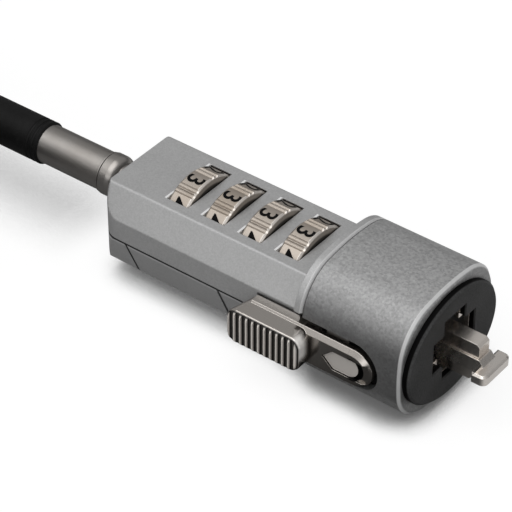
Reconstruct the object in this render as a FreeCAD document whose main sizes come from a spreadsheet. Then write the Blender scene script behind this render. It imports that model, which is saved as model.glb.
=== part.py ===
"""Laptop cable lock: four number dials, a T-shaped hook and a thumb slider.

Millimetres. +X runs along the lock towards the hook, +Y away from the thumb
slider's side, +Z up. The origin is the centre of the nose's front face.
"""
import FreeCAD, Part
import math
import os
import Sketcher
from FreeCAD import Placement, Rotation, Vector

doc = FreeCAD.newDocument("cable_lock")
sheet = doc.addObject("Spreadsheet::Sheet", "Sizes")

SIZES = {
    # how far a cutting shape runs past what it cuts
    "over": 1.0,
    # sleeve and collar: a rounded box with crowned sides, flattened where it lies down
    "half_width": 10.75,
    "half_height": 9.3,
    "crown_top": 31.0,
    "crown_side": 29.0,
    "corner": 6.8,
    "foot_flat": 0.1,
    "sleeve_length": 15.9,
    "sleeve_wall": 1.3,
    "sleeve_chamfer": 0.55,
    "sleeve_gap": 0.15,
    "collar_thick": 1.25,
    "foot_share": 0.65,
    "collar_chamfer": 0.4,
    "spigot_length": 2.3,
    "seat_clear": 0.05,
    # nose
    "nose_y": 10.35,
    "nose_z": 8.27,
    "nose_thick": 1.0,
    "nose_chamfer": 0.35,
    "plate_y": 9.2,
    "plate_z": 7.1,
    "plate_thick": 1.0,
    "cross_tall_width": 5.1,
    "cross_tall_height": 10.1,
    "cross_long_width": 9.8,
    "cross_long_height": 5.4,
    "cross_y": 0.1,
    "cross_z": 0.15,
    "tab_width": 1.2,
    "tab_height": 0.7,
    "tab_root": 0.2,
    "block_length": 4.6,
    # housing
    "top_z": 6.08,
    "top_half": 6.47,
    "side_half": 9.05,
    "side_z": 2.1,
    "parting_z": -1.25,
    "bottom_z": -6.75,
    "bottom_half": 7.3,
    "body_length": 53.3,
    "shell_front": 20.8,
    "rear_corner": 3.2,
    "edge_round": 0.45,
    "rear_wall": 1.1,
    "groove": 0.2,
    # dials
    "axis_z": 0.85,
    "dial_pitch": 6.25,
    "first_dial": 23.75,
    "dial_radius": 6.85,
    "dial_thick": 3.45,
    "dial_chamfer": 0.3,
    "dial_bore": 4.2,
    "dial_clear": 0.15,
    "window_width": 3.75,
    "window_length": 9.7,
    "flute_radius": 0.42,
    "flute_depth": 0.26,
    "flute_turn": 3.7,
    "half_land": 18.0,
    "dial_rest": 6.5,
    # code hubs and spindle
    "hub_thick": 1.6,
    "hub_clear": 0.05,
    "gate_width": 1.2,
    "key_width": 1.0,
    "key_height": 0.6,
    "spindle_radius": 1.6,
    "fin_height": 3.0,
    "fin_thick": 1.0,
    "fin_width": 0.9,
    "fin_ahead": 2.25,
    "slide_clear": 0.1,
    "clip_radius": 2.3,
    "clip_thick": 0.5,
    "clip_groove": 0.3,
    "clip_mouth": 1.6,
    "tail_length": 0.9,
    # detent spring
    "spring_thick": 0.25,
    "spring_width": 2.4,
    "spring_back": 0.35,
    "finger_radius": 0.3,
    "finger_width": 1.4,
    "finger_clear": 0.1,
    # hook and locking fork
    "stem_half": 1.4,
    "stem_top": 0.5,
    "stem_bottom": -1.8,
    "stem_inset": 0.6,
    "hook_reach": 4.9,
    "bar_thick": 2.1,
    "bar_half": 3.15,
    "bar_top": -0.35,
    "bar_round": 0.9,
    "bar_chamfer": 0.3,
    "post_half": 1.15,
    "post_gap": 0.05,
    "upper_post_top": 2.75,
    "upper_post_reach": 4.7,
    "lower_post_bottom": -3.5,
    "lower_post_reach": 3.8,
    "post_chamfer": 0.45,
    "yoke_thick": 1.5,
    "yoke_gap": 1.9,
    "yoke_half": 1.9,
    "rivet_y": 1.1,
    "rivet_drop": 3.3,
    "peg_radius": 0.8,
    "pin_radius": 0.5,
    "pin_half": 7.2,
    "rivet_radius": 0.5,
    # thumb slider
    "travel": 4.5,
    "slot_z": -1.1,
    "slot_half": 3.9,
    "slot_front": 4.6,
    "slot_rear": 25.5,
    "slot_depth": 1.0,
    "slot_top": 1.7,
    "plate_gap": 0.7,
    "plate_half": 3.0,
    "plate_face": 11.5,
    "plate_inner": 9.6,
    "plate_bevel": 0.6,
    "grip_front": 15.0,
    "grip_rear": 27.2,
    "grip_slant": 1.1,
    "grip_face": 14.2,
    "grip_half": 2.75,
    "grip_corner": 1.5,
    "grip_round": 0.8,
    "rib_pitch": 1.0,
    "rib_count": 11,
    "rib_radius": 0.4,
    "mark_tip": 13.0,
    "mark_length": 5.1,
    "mark_half": 1.55,
    "mark_taper": 1.7,
    "mark_depth": 0.35,
    "carriage_length": 3.6,
    "carriage_edge": 0.5,
    "dowel_radius": 0.7,
    "dowel_length": 3.0,
    # side cover and fasteners
    "cover_front": 32.4,
    "cover_rear": 48.6,
    "cover_slant": 1.0,
    "cover_thick": 0.85,
    "cover_gap": 0.18,
    "screw_radius": 0.6,
    "screw_head": 1.1,
    "screw_head_depth": 0.8,
    "screw_length": 8.6,
    "screw_slot": 0.4,
    "screw_inset": 2.9,
    "screw_edge": 0.4,
    "screw_edge_front": 1.0,
    "sleeve_pin_radius": 0.6,
    "sleeve_pin_sink": 0.2,
    "sleeve_pin_length": 2.6,
    # swivel and cable
    "neck_radius": 3.2,
    "neck_length": 2.5,
    "neck_gap": 2.8,
    "neck_shank": 2.3,
    "neck_flange": 2.9,
    "neck_flange_thick": 0.5,
    "neck_round": 1.3,
    "stud_radius": 1.3,
    "stud_head": 2.7,
    "stud_head_thick": 0.9,
    "turn_clear": 0.08,
    "chamber_radius": 3.1,
    "chamber_length": 1.8,
    "swivel_gap": 0.2,
    "ferrule_radius": 2.93,
    "ferrule_length": 13.8,
    "ferrule_wall": 2.6,
    "ferrule_rim": 0.15,
    "boot_radius": 3.25,
    "cable_radius": 2.5,
    "boot_start": 16.8,
    "boot_length": 11.8,
    "boot_taper": 0.9,
    "boot_edge": 0.3,
    "ring_radius": 0.35,
    "coil_radius": 30.0,
    "coil_halves": 4,
    "coil_layers": 4,
    "coil_x": -120.2,
    "coil_y": 2.9,
    "lead_level": 8.7,
    "lead_landed": 17.2,
    "eye_radius": 14.0,
    "eye_flare": 12.0,
    "turn_in": 20.0,
    "crimp_wall": 0.8,
    "strand_gap": 1.0,
    "turn_pitch": 5.3,
    "end_rise": 5.9,
    "crimp_length": 14.0,
    "strand_short": 2.0,
}

for row, (name, number) in enumerate(SIZES.items(), start=1):
    sheet.set(f"A{row}", str(number))
    sheet.setAlias(f"A{row}", name)
doc.recompute()


def size(name):
    """A driving dimension, read back from the sheet."""
    return float(getattr(sheet, name))


def bound(text):
    """The same sum on the sheet's cells: each alias in the text gets the sheet's name."""
    out = ""
    word = ""
    for letter in text + " ":
        if letter.isalnum() or letter == "_":
            word += letter
            continue
        out += f"Sizes.{word}" if word in SIZES else word
        out += letter
        word = ""
    return out.strip()


PIECES = []
ALONG = {
    "x": Rotation(Vector(0, 0, 1), Vector(1, 0, 0)),
    "y": Rotation(Vector(0, 0, 1), Vector(0, 1, 0)),
    "z": Rotation(),
}
# a drawing's own two axes and the way it is thickened, in the part's frame
DRAWN_ON = {
    "yz": Rotation(Vector(1, 1, 1), 120),
    "xz": Rotation(Vector(1, 0, 0), 90),
    "xy": Rotation(),
}


def place(solid, turn, x, y, z):
    solid.Placement = Placement(Vector(), turn)
    for axis, text in zip("xyz", (x, y, z)):
        solid.setExpression(f"Placement.Base.{axis}", bound(text))
    return solid


def box(name, x, y, z, length, width, height):
    solid = doc.addObject("Part::Box", name)
    for side, text in (("Length", length), ("Width", width), ("Height", height)):
        solid.setExpression(side, bound(text))
    return place(solid, Rotation(), x, y, z)


def rod(name, axis, radius, x, y, z, length):
    solid = doc.addObject("Part::Cylinder", name)
    solid.setExpression("Radius", bound(radius))
    solid.setExpression("Height", bound(length))
    return place(solid, ALONG[axis], x, y, z)


def oval(name, half_y, half_z, x, thick):
    rim = doc.addObject("Part::Ellipse", f"{name}_rim")
    rim.setExpression("MajorRadius", bound(half_y))
    rim.setExpression("MinorRadius", bound(half_z))
    place(rim, DRAWN_ON["yz"], x, "0", "0")
    return thicken(name, rim, thick)


def thicken(name, drawing, thick):
    solid = doc.addObject("Part::Extrusion", name)
    solid.Base = drawing
    solid.DirMode = "Normal"
    solid.Solid = True
    solid.setExpression("LengthFwd", bound(thick))
    return solid


def prism(name, plane, start, thick, corners):
    """A straight-sided outline drawn on a plane at start, thickened along the plane's normal."""
    drawing = doc.addObject("Sketcher::SketchObject", f"{name}_outline")
    count = len(corners)
    for index in range(count):
        start_point = Vector(index, index % 2, 0)
        drawing.addGeometry(Part.LineSegment(start_point, Vector(index + 1, (index + 1) % 2, 0)))
    for index in range(count):
        drawing.addConstraint(Sketcher.Constraint("Coincident", index, 2, (index + 1) % count, 1))
    for index, corner in enumerate(corners):
        for kind, text in zip(("DistanceX", "DistanceY"), corner):
            row = drawing.addConstraint(Sketcher.Constraint(kind, -1, 1, index, 1, 1.0 + index))
            drawing.setExpression(f"Constraints[{row}]", bound(text))
    across = {"yz": (start, "0", "0"), "xz": ("0", start, "0"), "xy": ("0", "0", start)}[plane]
    place(drawing, DRAWN_ON[plane], *across)
    return thicken(name, drawing, thick)


def join(name, *solids):
    whole = doc.addObject("Part::MultiFuse", name)
    whole.Shapes = list(solids)
    return whole


def meet(name, *solids):
    whole = doc.addObject("Part::MultiCommon", name)
    whole.Shapes = list(solids)
    return whole


def cut(name, base, *tools):
    whole = doc.addObject("Part::Cut", name)
    whole.Base = base
    whole.Tool = tools[0] if len(tools) == 1 else join(f"{name}_tools", *tools)
    return whole


def ease(kind, name, base, amount, wanted):
    """Rounds or bevels the edges of base that the function wanted picks."""
    doc.recompute()
    whole = doc.addObject(f"Part::{kind}", name)
    whole.Base = base
    picked = [index for index, edge in enumerate(base.Shape.Edges, start=1) if wanted(edge)]
    if not picked:
        raise ValueError(f"{name}: no edge to ease")
    whole.Edges = [(index, amount, amount) for index in picked]
    return whole


def near(number, other):
    return abs(number - other) < 0.01


def runs_along(edge, axis):
    first, last = edge.Vertexes[0].Point, edge.Vertexes[-1].Point
    return all(near(first[other], last[other]) for other in range(3) if other != axis)


def at_x(edge, x):
    bounds = edge.BoundBox
    return near(bounds.XMin, x) and near(bounds.XMax, x)


def piece(solid, label):
    solid.Label = label
    PIECES.append(solid)
    return solid


def section(name, insets, start, length):
    """The rounded box of the sleeve and the collar, drawn in by the named insets all round."""
    inset = " + ".join(insets) or "0"
    parts = []
    for tag, axis, half, crown, sign in (
        ("over", "z", "half_height", "crown_top", ""),
        ("under", "z", "half_height", "crown_top", "-"),
        ("far", "y", "half_width", "crown_side", ""),
        ("near", "y", "half_width", "crown_side", "-"),
    ):
        middle = {"y": "0", "z": "0", axis: f"{sign}({half} - {crown})"}
        radius = f"{crown} - ({inset})"
        parts.append(rod(f"{name}_{tag}", "x", radius, start, middle["y"], middle["z"], length))
    blank = meet(f"{name}_blank", *parts)
    inner = size("corner") - sum(size(inset) for inset in insets)
    return ease("Fillet", name, blank, inner, lambda edge: runs_along(edge, 0))


def cross(name, x, thick):
    """The plus-shaped opening in the nose."""
    arms = []
    for arm in ("tall", "long"):
        width, height = f"cross_{arm}_width", f"cross_{arm}_height"
        arms.append(box(f"{name}_{arm}", x, f"cross_y - {width} / 2", f"cross_z - {height} / 2",
                        thick, width, height))
    return join(name, *arms)


# Places along the lock, as sums of the driving dimensions
PLATE_BACK = "-(nose_thick + plate_thick)"
BLOCK_BACK = "-(nose_thick + plate_thick + block_length)"
YOKE_FRONT = "-(nose_thick + plate_thick + block_length + yoke_gap)"
YOKE_BACK = "-(nose_thick + plate_thick + block_length + yoke_gap + yoke_thick)"
CARRIAGE_BACK = "-(nose_thick + plate_thick + block_length + yoke_gap + yoke_thick + carriage_length)"
SLEEVE_BACK = "-(nose_thick + sleeve_length)"
COLLAR_FRONT = "-(nose_thick + sleeve_length + sleeve_gap)"
COLLAR_BACK = "-(nose_thick + sleeve_length + sleeve_gap + collar_thick)"
CAVITY_BACK = f"({CARRIAGE_BACK} - clip_thick - travel - 3 * slide_clear)"
LAST_DIAL = "-(first_dial + 3 * dial_pitch)"
REAR = "-(body_length)"
CHAMBER_BACK = "-(body_length - rear_wall)"
CHAMBER_FRONT = "-(body_length - rear_wall - chamber_length)"
FERRULE_FRONT = "-(body_length + neck_gap + neck_length + swivel_gap)"
CABLE_END = "-(body_length + neck_gap + neck_length + swivel_gap + ferrule_wall)"
BOOT_FRONT = "-(body_length + boot_start)"
BOOT_BACK = "-(body_length + boot_start + boot_length)"
# how far the collar stands out from the body's sides; its foot is rounded by a share of that
COLLAR_STEP = size("half_width") - size("side_half")


def dial_middle(number):
    """Dial 1 is the one next to the cable."""
    return f"-(first_dial + {4 - number} * dial_pitch)"


def make_nose():
    """The black oval face, the plate behind it and the block that guides the hook."""
    blank = oval("bumper_blank", "nose_y", "nose_z", "-(nose_thick)", "nose_thick")
    eased = ease("Chamfer", "bumper_eased", blank, size("nose_chamfer"), lambda edge: at_x(edge, 0))
    opening = cross("bumper_cross", "-(nose_thick) - over", "nose_thick + 2 * over")
    piece(cut("bumper", eased, opening), "nose_bumper")

    blank = oval("plate_blank", "plate_y", "plate_z", PLATE_BACK, "plate_thick")
    holed = cut("plate_holed", blank, cross("plate_cross", f"{PLATE_BACK} - over", "plate_thick + 2 * over"))
    far_tab = box(
        "far_tab", PLATE_BACK, "cross_y + cross_tall_width / 2 - tab_root",
        "cross_z + cross_long_height / 2 - tab_height", "plate_thick", "tab_width", "tab_height + tab_root",
    )
    near_tab = box(
        "near_tab", PLATE_BACK, "cross_y - cross_tall_width / 2 + tab_root - tab_width",
        "cross_z - cross_long_height / 2 - tab_root", "plate_thick", "tab_width", "tab_height + tab_root",
    )
    piece(join("plate", holed, far_tab, near_tab), "guide_plate")

    blank = section("block_blank", ("sleeve_wall", "seat_clear"), BLOCK_BACK, "block_length")
    slot = box(
        "block_slot", f"{BLOCK_BACK} - over", "-(stem_half + slide_clear)", "lower_post_bottom - slide_clear",
        "block_length + 2 * over", "2 * (stem_half + slide_clear)",
        "upper_post_top - lower_post_bottom + 2 * slide_clear",
    )
    pin_x = f"{PLATE_BACK} - block_length / 2"
    pin_z = "(stem_top + stem_bottom) / 2"
    hole = rod("block_hole", "y", "pin_radius", pin_x, "-(pin_half)", pin_z, "2 * pin_half")
    piece(cut("block", blank, slot, hole), "guide_block")

    stem_back = f"({BLOCK_BACK} + stem_inset)"
    in_bar = "hook_reach + bar_thick / 3"
    stem = prism("stem", "xz", "stem_half", "2 * stem_half", [
        (stem_back, "stem_bottom"), (in_bar, "stem_bottom"), (in_bar, "bar_top"),
        ("hook_reach", "stem_top"), (stem_back, "stem_top"),
    ])
    bar = box("bar_blank", "hook_reach", "-(bar_half)", "stem_bottom", "bar_thick", "2 * bar_half",
              "bar_top - stem_bottom")
    tip = size("hook_reach") + size("bar_thick")
    bar = ease("Fillet", "bar_ends", bar, size("bar_round"),
               lambda edge: runs_along(edge, 2) and near(edge.BoundBox.XMin, tip))
    bar = ease("Chamfer", "bar", bar, size("bar_chamfer"),
               lambda edge: near(edge.BoundBox.ZMin, size("bar_top")))
    hole = rod("stem_hole", "y", "pin_radius", pin_x, "-2 * stem_half", pin_z, "4 * stem_half")
    piece(cut("hook_solid", join("hook_blank", stem, bar), hole), "hook")
    piece(rod("pin", "y", "pin_radius", pin_x, "-(pin_half)", pin_z, "2 * pin_half"), "hook_pin")


def make_fork():
    """Two posts that close in above and below the hook's stem, on one yoke."""
    posts = []
    for tag, low, high, reach in (
        ("upper", "stem_top + post_gap", "upper_post_top", "upper_post_reach"),
        ("lower", "lower_post_bottom", "stem_bottom - post_gap", "lower_post_reach"),
    ):
        post = box(f"{tag}_blank", YOKE_FRONT, "-(post_half)", low, f"{reach} - {YOKE_FRONT}",
                   "2 * post_half", f"{high} - ({low})")
        outer = size("upper_post_top") if tag == "upper" else size("lower_post_bottom")
        front = size(reach)
        posts.append(ease("Chamfer", f"{tag}_post", post, size("post_chamfer"),
                          lambda edge, z=outer, x=front: runs_along(edge, 1)
                          and near(edge.BoundBox.ZMin, z) and near(edge.BoundBox.XMin, x)))
    yoke = box("yoke", YOKE_BACK, "-(yoke_half)", "lower_post_bottom", "yoke_thick", "2 * yoke_half",
               "upper_post_top - lower_post_bottom")
    peg = rod("yoke_hole", "x", "peg_radius", f"{YOKE_BACK} - over", "0", "axis_z", "yoke_thick + 2 * over")
    holes = rivets("fork_rivet_holes", "over")
    piece(cut("fork", join("fork_blank", *posts, yoke), peg, holes), "locking_fork")
    piece(rivets("rivets", "0"), "fork_rivets")


def rivets(name, longer):
    """Two rivets through the yoke into the carriage; their holes run longer at the front."""
    low = "axis_z - rivet_drop"
    start = f"{YOKE_BACK} - carriage_length / 2"
    length = f"yoke_thick + carriage_length / 2 + {longer}"
    return join(name, *[
        rod(f"{name}_{tag}", "x", "rivet_radius", start, y, low, length)
        for tag, y in (("far", "rivet_y"), ("near", "-(rivet_y)"))
    ])


def make_spindle():
    """The finned rod that follows the slider through the code hubs, and its clip."""
    back = f"({LAST_DIAL} - hub_thick / 2 - tail_length)"
    parts = [
        rod("spindle_rod", "x", "spindle_radius", back, "0", "axis_z", f"{YOKE_BACK} - {back}"),
        rod("spindle_peg", "x", "peg_radius", YOKE_BACK, "0", "axis_z", "yoke_thick"),
    ]
    for number in range(1, 5):
        parts.append(box(
            f"fin_{number}", f"{dial_middle(number)} + fin_ahead - fin_thick / 2", "-(fin_width) / 2",
            "axis_z", "fin_thick", "fin_width", "fin_height",
        ))
    groove_x = f"({CARRIAGE_BACK} - clip_thick)"
    ring = cut(
        "clip_ring",
        rod("clip_disc", "x", "clip_radius", groove_x, "0", "axis_z", "clip_thick"),
        rod("clip_bore", "x", "spindle_radius - clip_groove", f"{groove_x} - over", "0", "axis_z",
            "clip_thick + 2 * over"),
        box("clip_mouth_cut", f"{groove_x} - over", "-(clip_mouth) / 2", "axis_z - 2 * clip_radius",
            "clip_thick + 2 * over", "clip_mouth", "2 * clip_radius"),
    )
    piece(ring, "spindle_clip")
    neck = cut(
        "spindle_neck",
        rod("spindle_neck_disc", "x", "2 * spindle_radius", groove_x, "0", "axis_z", "clip_thick"),
        rod("spindle_neck_core", "x", "spindle_radius - clip_groove", f"{groove_x} - over", "0", "axis_z",
            "clip_thick + 2 * over"),
    )
    piece(cut("spindle_solid", join("spindle_blank", *parts), neck), "spindle")


def circle_drawing(body, name, circles):
    """Circles on the body's own YZ plane: radius and centre are sums of the driving dimensions."""
    plane = next(item for item in body.Origin.OriginFeatures if item.Role == "YZ_Plane")
    drawing = body.newObject("Sketcher::SketchObject", name)
    drawing.AttachmentSupport = (plane, [""])
    drawing.MapMode = "FlatFace"
    for index, (radius, across, up) in enumerate(circles):
        drawing.addGeometry(Part.Circle(Vector(index, 1, 0), Vector(0, 0, 1), 1))
        row = drawing.addConstraint(Sketcher.Constraint("Radius", index, 1.0))
        drawing.setExpression(f"Constraints[{row}]", bound(radius))
        if across is None:
            drawing.addConstraint(Sketcher.Constraint("Coincident", index, 3, -1, 1))
            continue
        for kind, text in (("DistanceX", across), ("DistanceY", up)):
            row = drawing.addConstraint(Sketcher.Constraint(kind, -1, 1, index, 3, 1.0))
            drawing.setExpression(f"Constraints[{row}]", bound(text))
    return drawing


def make_dial(number):
    """A number dial: ten lands with a pair of flutes between each two, and its keyed bore."""
    body = doc.addObject("PartDesign::Body", f"dial_body_{number}")
    pad = body.newObject("PartDesign::Pad", f"dial_pad_{number}")
    pad.Profile = circle_drawing(body, f"dial_disc_{number}", [("dial_radius", None, None)])
    pad.setExpression("Length", bound("dial_thick"))
    doc.recompute()
    rims = [f"Edge{index}" for index, edge in enumerate(pad.Shape.Edges, start=1)
            if isinstance(edge.Curve, Part.Circle)]
    bevel = body.newObject("PartDesign::Chamfer", f"dial_bevel_{number}")
    bevel.Base = (pad, rims)
    bevel.setExpression("Size", bound("dial_chamfer"))
    bore = body.newObject("PartDesign::Pocket", f"dial_bore_{number}")
    bore.Profile = circle_drawing(body, f"dial_bore_circle_{number}", [("dial_bore", None, None)])
    key_low = "-(dial_bore) - key_height"
    reach = "(dial_radius + flute_radius - flute_depth)"
    flutes = body.newObject("PartDesign::Pocket", f"dial_flutes_{number}")
    flutes.Profile = circle_drawing(body, f"dial_flute_circles_{number}", [
        ("flute_radius", f"{reach} * sin({turn})", f"{reach} * cos({turn})")
        for turn in ("half_land - dial_rest + flute_turn", "half_land - dial_rest - flute_turn")
    ])
    for pocket in (bore, flutes):
        pocket.Type = "ThroughAll"
        pocket.Reversed = True
    around = body.newObject("PartDesign::PolarPattern", f"dial_round_{number}")
    around.Originals = [flutes]
    around.Axis = (next(item for item in body.Origin.OriginFeatures if item.Role == "X_Axis"), [""])
    around.Angle = 360
    around.Occurrences = 10
    body.Tip = around
    doc.recompute()
    if not around.Shape.Volume < bore.Shape.Volume < bevel.Shape.Volume:
        raise ValueError("the dial's cuts miss it")
    place(body, Rotation(), f"{dial_middle(number)} - dial_thick / 2", "0", "axis_z")
    keyway = box(
        f"keyway_{number}", f"{dial_middle(number)} - dial_thick", "-(key_width) / 2", f"axis_z + {key_low}",
        "2 * dial_thick", "key_width", "key_height + over",
    )
    piece(cut(f"dial_solid_{number}", body, keyway), f"dial_{number}")


def make_hub(number):
    """The code hub in the dial: a key to the dial, and a gate that lets the fin through."""
    start = f"({dial_middle(number)} - hub_thick / 2)"
    disc = rod(f"hub_disc_{number}", "x", "dial_bore - hub_clear", start, "0", "axis_z", "hub_thick")
    key = box(
        f"hub_key_{number}", start, "-(key_width) / 2 + hub_clear",
        "axis_z - dial_bore - key_height + hub_clear", "hub_thick", "key_width - 2 * hub_clear",
        "key_height + over",
    )
    through = (f"{start} - over", "hub_thick + 2 * over")
    bore = rod(f"hub_bore_{number}", "x", "spindle_radius + hub_clear", through[0], "0", "axis_z", through[1])
    gate = box(f"gate_{number}", through[0], "-(gate_width) / 2", "axis_z", through[1], "gate_width",
               "fin_height + 2 * slide_clear")
    blank = join(f"hub_blank_{number}", disc, key)
    piece(cut(f"hub_{number}", blank, bore, gate), f"code_hub_{number}")


def make_slider():
    """The thumb slider with its ribbed grip, and the carriage that ties it to the fork."""
    front = "-(slot_front + plate_gap)"
    middle = f"({front} - plate_half)"
    nose = rod("slider_nose", "y", "plate_half", middle, "-(plate_face)", "slot_z",
               "plate_face - plate_inner")
    back = "-(grip_rear) + 2 * grip_slant"
    strip = box("slider_strip", back, "-(plate_face)", "slot_z - plate_half", f"{middle} - ({back})",
                "plate_face - plate_inner", "2 * plate_half")
    face = -size("plate_face")
    plate = ease("Chamfer", "slider_plate", join("slider_plate_blank", strip, nose), size("plate_bevel"),
                 lambda edge: near(edge.BoundBox.YMax, face)
                 and not near(edge.BoundBox.XMin, edge.BoundBox.XMax))
    grip = prism("grip_blank", "xy", "slot_z - grip_half", "2 * grip_half", [
        ("-(grip_rear) + grip_slant", "-(plate_inner)"), ("-(grip_rear)", "-(grip_face)"),
        ("-(grip_front)", "-(grip_face)"), ("-(grip_front)", "-(plate_inner)"),
    ])
    outer = -size("grip_face")
    inner = -size("plate_inner")
    grip = ease("Fillet", "grip_corners", grip, size("grip_corner"),
                lambda edge: near(edge.BoundBox.YMin, outer) and near(edge.BoundBox.YMax, inner))
    grip = ease("Fillet", "grip_round_off", grip, size("grip_round"),
                lambda edge: near(edge.BoundBox.YMin, outer) and near(edge.BoundBox.YMax, outer))
    ribs = [
        rod(f"rib_{index}", "z", "rib_radius", f"-(grip_front) - rib_pitch * {index + 1}", "-(grip_face)",
            "slot_z - 2 * grip_half", "4 * grip_half")
        for index in range(int(size("rib_count")))
    ]
    depth = "2 * mark_depth"
    mark_y = "-(plate_face) - mark_depth"
    round_x = "(mark_half - mark_tip + mark_length)"
    shoulder = "(-(mark_tip) + mark_taper)"
    mark = join(
        "mark",
        rod("mark_round", "y", "mark_half", round_x, mark_y, "slot_z", depth),
        box("mark_strip", shoulder, mark_y, "slot_z - mark_half", f"{round_x} - {shoulder}", depth,
            "2 * mark_half"),
        prism("mark_point", "xz", f"{mark_y} + {depth}", depth, [
            ("-(mark_tip)", "slot_z"), (shoulder, "slot_z - mark_half"), (shoulder, "slot_z + mark_half"),
        ]),
    )
    body = cut("slider_solid", join("slider_blank", plate, grip), mark, *ribs, dowels("slider_holes"))
    piece(body, "slider_button")

    far = "yoke_half + carriage_edge"
    block = box(
        "carriage_block", CARRIAGE_BACK, "-(plate_inner)", "lower_post_bottom", "carriage_length",
        f"plate_inner + {far}", "upper_post_top - lower_post_bottom",
    )
    bore = rod("carriage_bore", "x", "spindle_radius", f"{CARRIAGE_BACK} - over", "0", "axis_z",
               "carriage_length + 2 * over")
    piece(cut("carriage", block, bore, rivets("carriage_rivet_holes", "0"), dowels("carriage_holes")),
          "slider_carriage")
    piece(dowels("dowels"), "slider_dowels")


def dowels(name):
    """Two dowels between the slider's plate and the carriage."""
    return join(name, *[
        rod(f"{name}_{part}", "y", "dowel_radius", f"{CARRIAGE_BACK} + carriage_length * {part} / 4",
            "-(plate_inner + dowel_length / 2)", "slot_z", "dowel_length")
        for part in (1, 3)
    ])


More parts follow.
